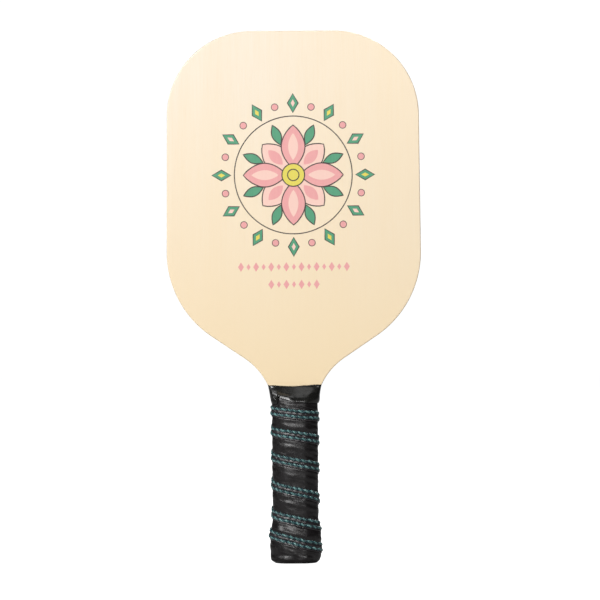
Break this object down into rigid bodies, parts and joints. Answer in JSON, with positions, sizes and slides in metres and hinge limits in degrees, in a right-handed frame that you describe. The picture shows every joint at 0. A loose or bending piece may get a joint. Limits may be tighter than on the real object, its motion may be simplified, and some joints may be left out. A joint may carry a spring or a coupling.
{
  "type": "pickleball paddle",
  "caption": "Flat wooden bat with a rounded-rectangle plywood head, a short octagonal handle and a spirally wound cushioned grip with a stitched rib.",
  "frame": {"origin": "centre of the butt's end face", "axes": "+Z along the paddle towards the top of the head, +Y out of the plain back face, -Y out of the printed front face, +X to the right as seen from the front"},
  "size_m": [0.1882, 0.0326, 0.394],
  "materials": {
    "coated_face_wood": "pale basswood under a thin clear coat",
    "inner_ply_wood": "bare sawn plywood edge",
    "handle_wood": "bare milled hardwood",
    "cap_plastic": "moulded, fine satin texture",
    "brad_steel": "bright drawn wire",
    "cushion_foam": "felt-backed foam",
    "grip_leather": "polyurethane synthetic leather, satin",
    "rib_cord": "twisted cord",
    "stitch_thread": "twisted two-ply thread",
    "tape_plastic": "stretched vinyl tape, satin"
  },
  "bodies": {
    "root": {"front_face_veneer": "coated_face_wood", "back_face_veneer": "coated_face_wood", "front_crossband": "inner_ply_wood", "front_long_ply": "inner_ply_wood", "core_ply": "inner_ply_wood", "back_long_ply": "inner_ply_wood", "back_crossband": "inner_ply_wood", "front_handle_scale": "handle_wood", "back_handle_scale": "handle_wood", "butt_cap": "cap_plastic", "butt_cap_brad_front": "brad_steel", "butt_cap_brad_back": "brad_steel", "grip_cushion": "cushion_foam", "grip_skin": "grip_leather", "grip_rib_cord": "rib_cord", "grip_stitch_upper": "stitch_thread", "grip_stitch_lower": "stitch_thread", "finishing_tape": "tape_plastic"}
  },
  "joints": []
}
